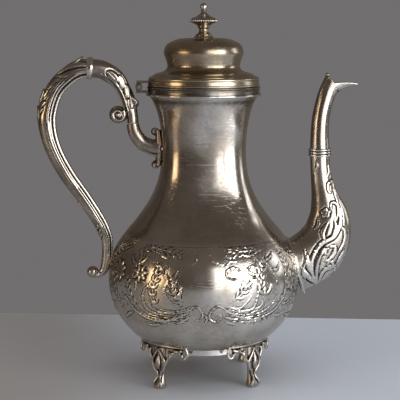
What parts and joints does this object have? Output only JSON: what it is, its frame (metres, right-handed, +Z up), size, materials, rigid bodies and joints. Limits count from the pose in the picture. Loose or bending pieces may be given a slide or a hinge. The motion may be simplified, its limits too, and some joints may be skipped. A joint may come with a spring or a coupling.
{
  "type": "coffee pot",
  "caption": "Pear-shaped silver coffee pot on four cast feet, with a scroll handle, a swan spout and a hinged domed lid with a turned finial.",
  "frame": {"origin": "centre of the bounding box's footprint, on the plane of the feet's soles", "axes": "+Z up, +X towards the spout's tip, -X towards the handle"},
  "size_m": [0.22, 0.1324, 0.2596],
  "materials": {
    "silver_plate": "aged silver plate, softly polished",
    "tarnished_silver": "cast silver plate with dark patina in its recesses",
    "warm_silver": "silver plate with a warm yellow tarnish",
    "bright_silver": "bright rubbed silver plate",
    "brass_fitting": "plain dull brass"
  },
  "bodies": {
    "pot": {"belly_shell": "silver_plate", "neck_shell": "silver_plate", "bottom_plate": "tarnished_silver", "base_ring": "bright_silver", "front_left_foot": "tarnished_silver", "front_right_foot": "tarnished_silver", "rear_left_foot": "tarnished_silver", "rear_right_foot": "tarnished_silver", "mouth_collar": "silver_plate", "collar_wire": "bright_silver", "spout_root_flange": "bright_silver", "spout_lower": "silver_plate", "spout_triple_ring": "bright_silver", "spout_upper": "silver_plate", "handle_grip": "tarnished_silver", "handle_ferrule": "bright_silver", "handle_upper_arm": "tarnished_silver", "handle_bracket": "tarnished_silver", "bracket_plate": "tarnished_silver", "hinge_body_leaf": "tarnished_silver", "hinge_pin": "bright_silver"},
    "lid": {"hinge_lid_leaf": "tarnished_silver", "lid_cap": "warm_silver", "lid_bezel": "silver_plate", "finial_baluster": "warm_silver", "finial_disc": "warm_silver", "finial_spire": "warm_silver", "finial_washer": "brass_fitting", "finial_nut": "brass_fitting"}
  },
  "joints": [
    {"name": "lid_hinge", "type": "hinge", "parent": "pot", "child": "lid", "pos_m": [-0.0409, 0, 0.203], "axis": [0, -1, 0], "range_deg": [0, 82]}
  ]
}
